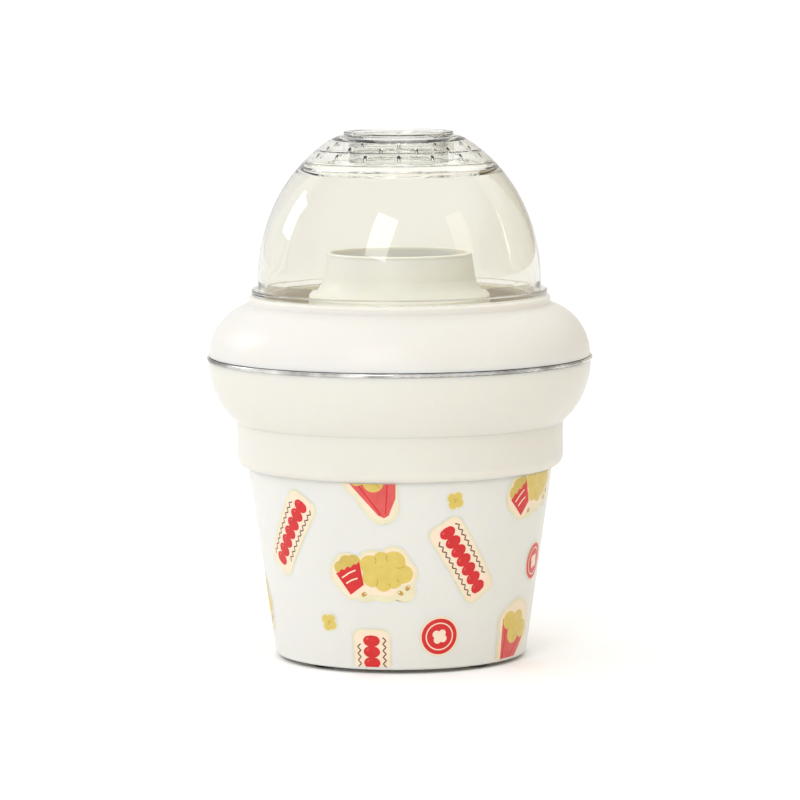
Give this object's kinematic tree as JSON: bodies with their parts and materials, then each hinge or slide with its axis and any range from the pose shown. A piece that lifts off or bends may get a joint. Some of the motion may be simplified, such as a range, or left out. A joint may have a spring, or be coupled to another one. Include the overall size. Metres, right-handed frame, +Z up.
{
  "type": "hot-air popcorn maker",
  "caption": "Small hot-air popcorn maker: tapered cup housing with a fan and heater, doughnut-shaped bowl with a chimney, clear dome, vented cap and lift-out measuring scoop.",
  "frame": {"origin": "centre of the base, on the plane the feet stand on", "axes": "+Z up, -Y towards the front, +X to the right seen from the front"},
  "size_m": [0.19, 0.19, 0.2593],
  "materials": {
    "cream_cup": "satin injection-moulded plastic",
    "cream_collar": "satin injection-moulded plastic",
    "cream_bowl": "satin injection-moulded plastic",
    "cream_tray": "satin heat-resistant plastic",
    "chrome_trim": "bright plated strip",
    "clear_dome": "clear moulded plastic",
    "clear_cap": "clear moulded plastic",
    "clear_scoop": "clear moulded plastic",
    "base_plastic": "fine-textured plastic",
    "foot_rubber": "moulded rubber",
    "screw_steel": "zinc-plated steel",
    "deck_plastic": "glass-filled heat-resistant plastic",
    "chamber_aluminium": "drawn aluminium",
    "seal_silicone": "silicone rubber",
    "can_metal": "galvanised sheet steel",
    "mica": "pressed mica sheet",
    "heating_wire": "resistance wire",
    "control_black": "phenolic plastic",
    "fuse_sleeve": "glass-fibre sleeve",
    "fan_plastic": "heat-resistant plastic",
    "motor_steel": "plated steel",
    "magnet_black": "ferrite",
    "armature_steel": "steel laminations with copper windings",
    "terminal_brass": "stamped brass",
    "board_resin": "paper-resin circuit board",
    "switch_black": "moulded plastic",
    "label_print": "printed film"
  },
  "bodies": {
    "base": {"cup_housing": "cream_cup", "base_plate": "base_plastic", "feet": "foot_rubber", "base_screws": "screw_steel", "lower_collar": "cream_collar", "collar_screws": "screw_steel", "chrome_ring": "chrome_trim", "deck_plate": "deck_plastic", "deck_screws": "screw_steel", "popping_chamber": "chamber_aluminium", "chamber_gasket": "seal_silicone", "chamber_screws": "screw_steel", "heater_housing": "can_metal", "mica_frame": "mica", "heater_coil": "heating_wire", "thermostat": "control_black", "thermal_fuse": "fuse_sleeve", "fan_housing": "fan_plastic", "stack_screws": "screw_steel", "motor_can": "motor_steel", "motor_end_cap": "control_black", "motor_terminals": "terminal_brass", "motor_magnets": "magnet_black", "rectifier_board": "board_resin", "switch_housing": "switch_black", "switch_terminals": "terminal_brass", "cord_gland": "switch_black", "label_banners": "label_print", "label_puffs": "label_print", "label_buckets": "label_print", "label_cones": "label_print", "label_discs": "label_print"},
    "rotor": {"motor_armature": "armature_steel", "motor_shaft": "motor_steel", "fan_impeller": "fan_plastic"},
    "rocker": {"rocker_button": "switch_black"},
    "bowl": {"bowl_shell": "cream_bowl", "popcorn_tray": "cream_tray", "chimney_liner": "cream_tray"},
    "dome": {"dome_lid": "clear_dome"},
    "cap": {"vent_cap": "clear_cap"},
    "scoop": {"measuring_cup": "clear_scoop"}
  },
  "joints": [
    {"name": "fan_spin", "type": "hinge", "parent": "base", "child": "rotor", "pos_m": [0, 0, 0.05], "axis": [0, 0, 1], "continuous": true},
    {"name": "rocker_turn", "type": "hinge", "parent": "base", "child": "rocker", "pos_m": [0, 0.06643, 0.03902], "axis": [-1, 0, 0], "range_deg": [0, 16]},
    {"name": "bowl_lift", "type": "slide", "parent": "base", "child": "bowl", "axis": [0, 0, 1], "range_m": [0, 0.06]},
    {"name": "dome_lift", "type": "slide", "parent": "bowl", "child": "dome", "axis": [0, 0, 1], "range_m": [0, 0.08]},
    {"name": "cap_lift", "type": "slide", "parent": "dome", "child": "cap", "axis": [0, 0, 1], "range_m": [0, 0.04]},
    {"name": "scoop_lift", "type": "slide", "parent": "cap", "child": "scoop", "axis": [0, 0, 1], "range_m": [0, 0.04]}
  ]
}
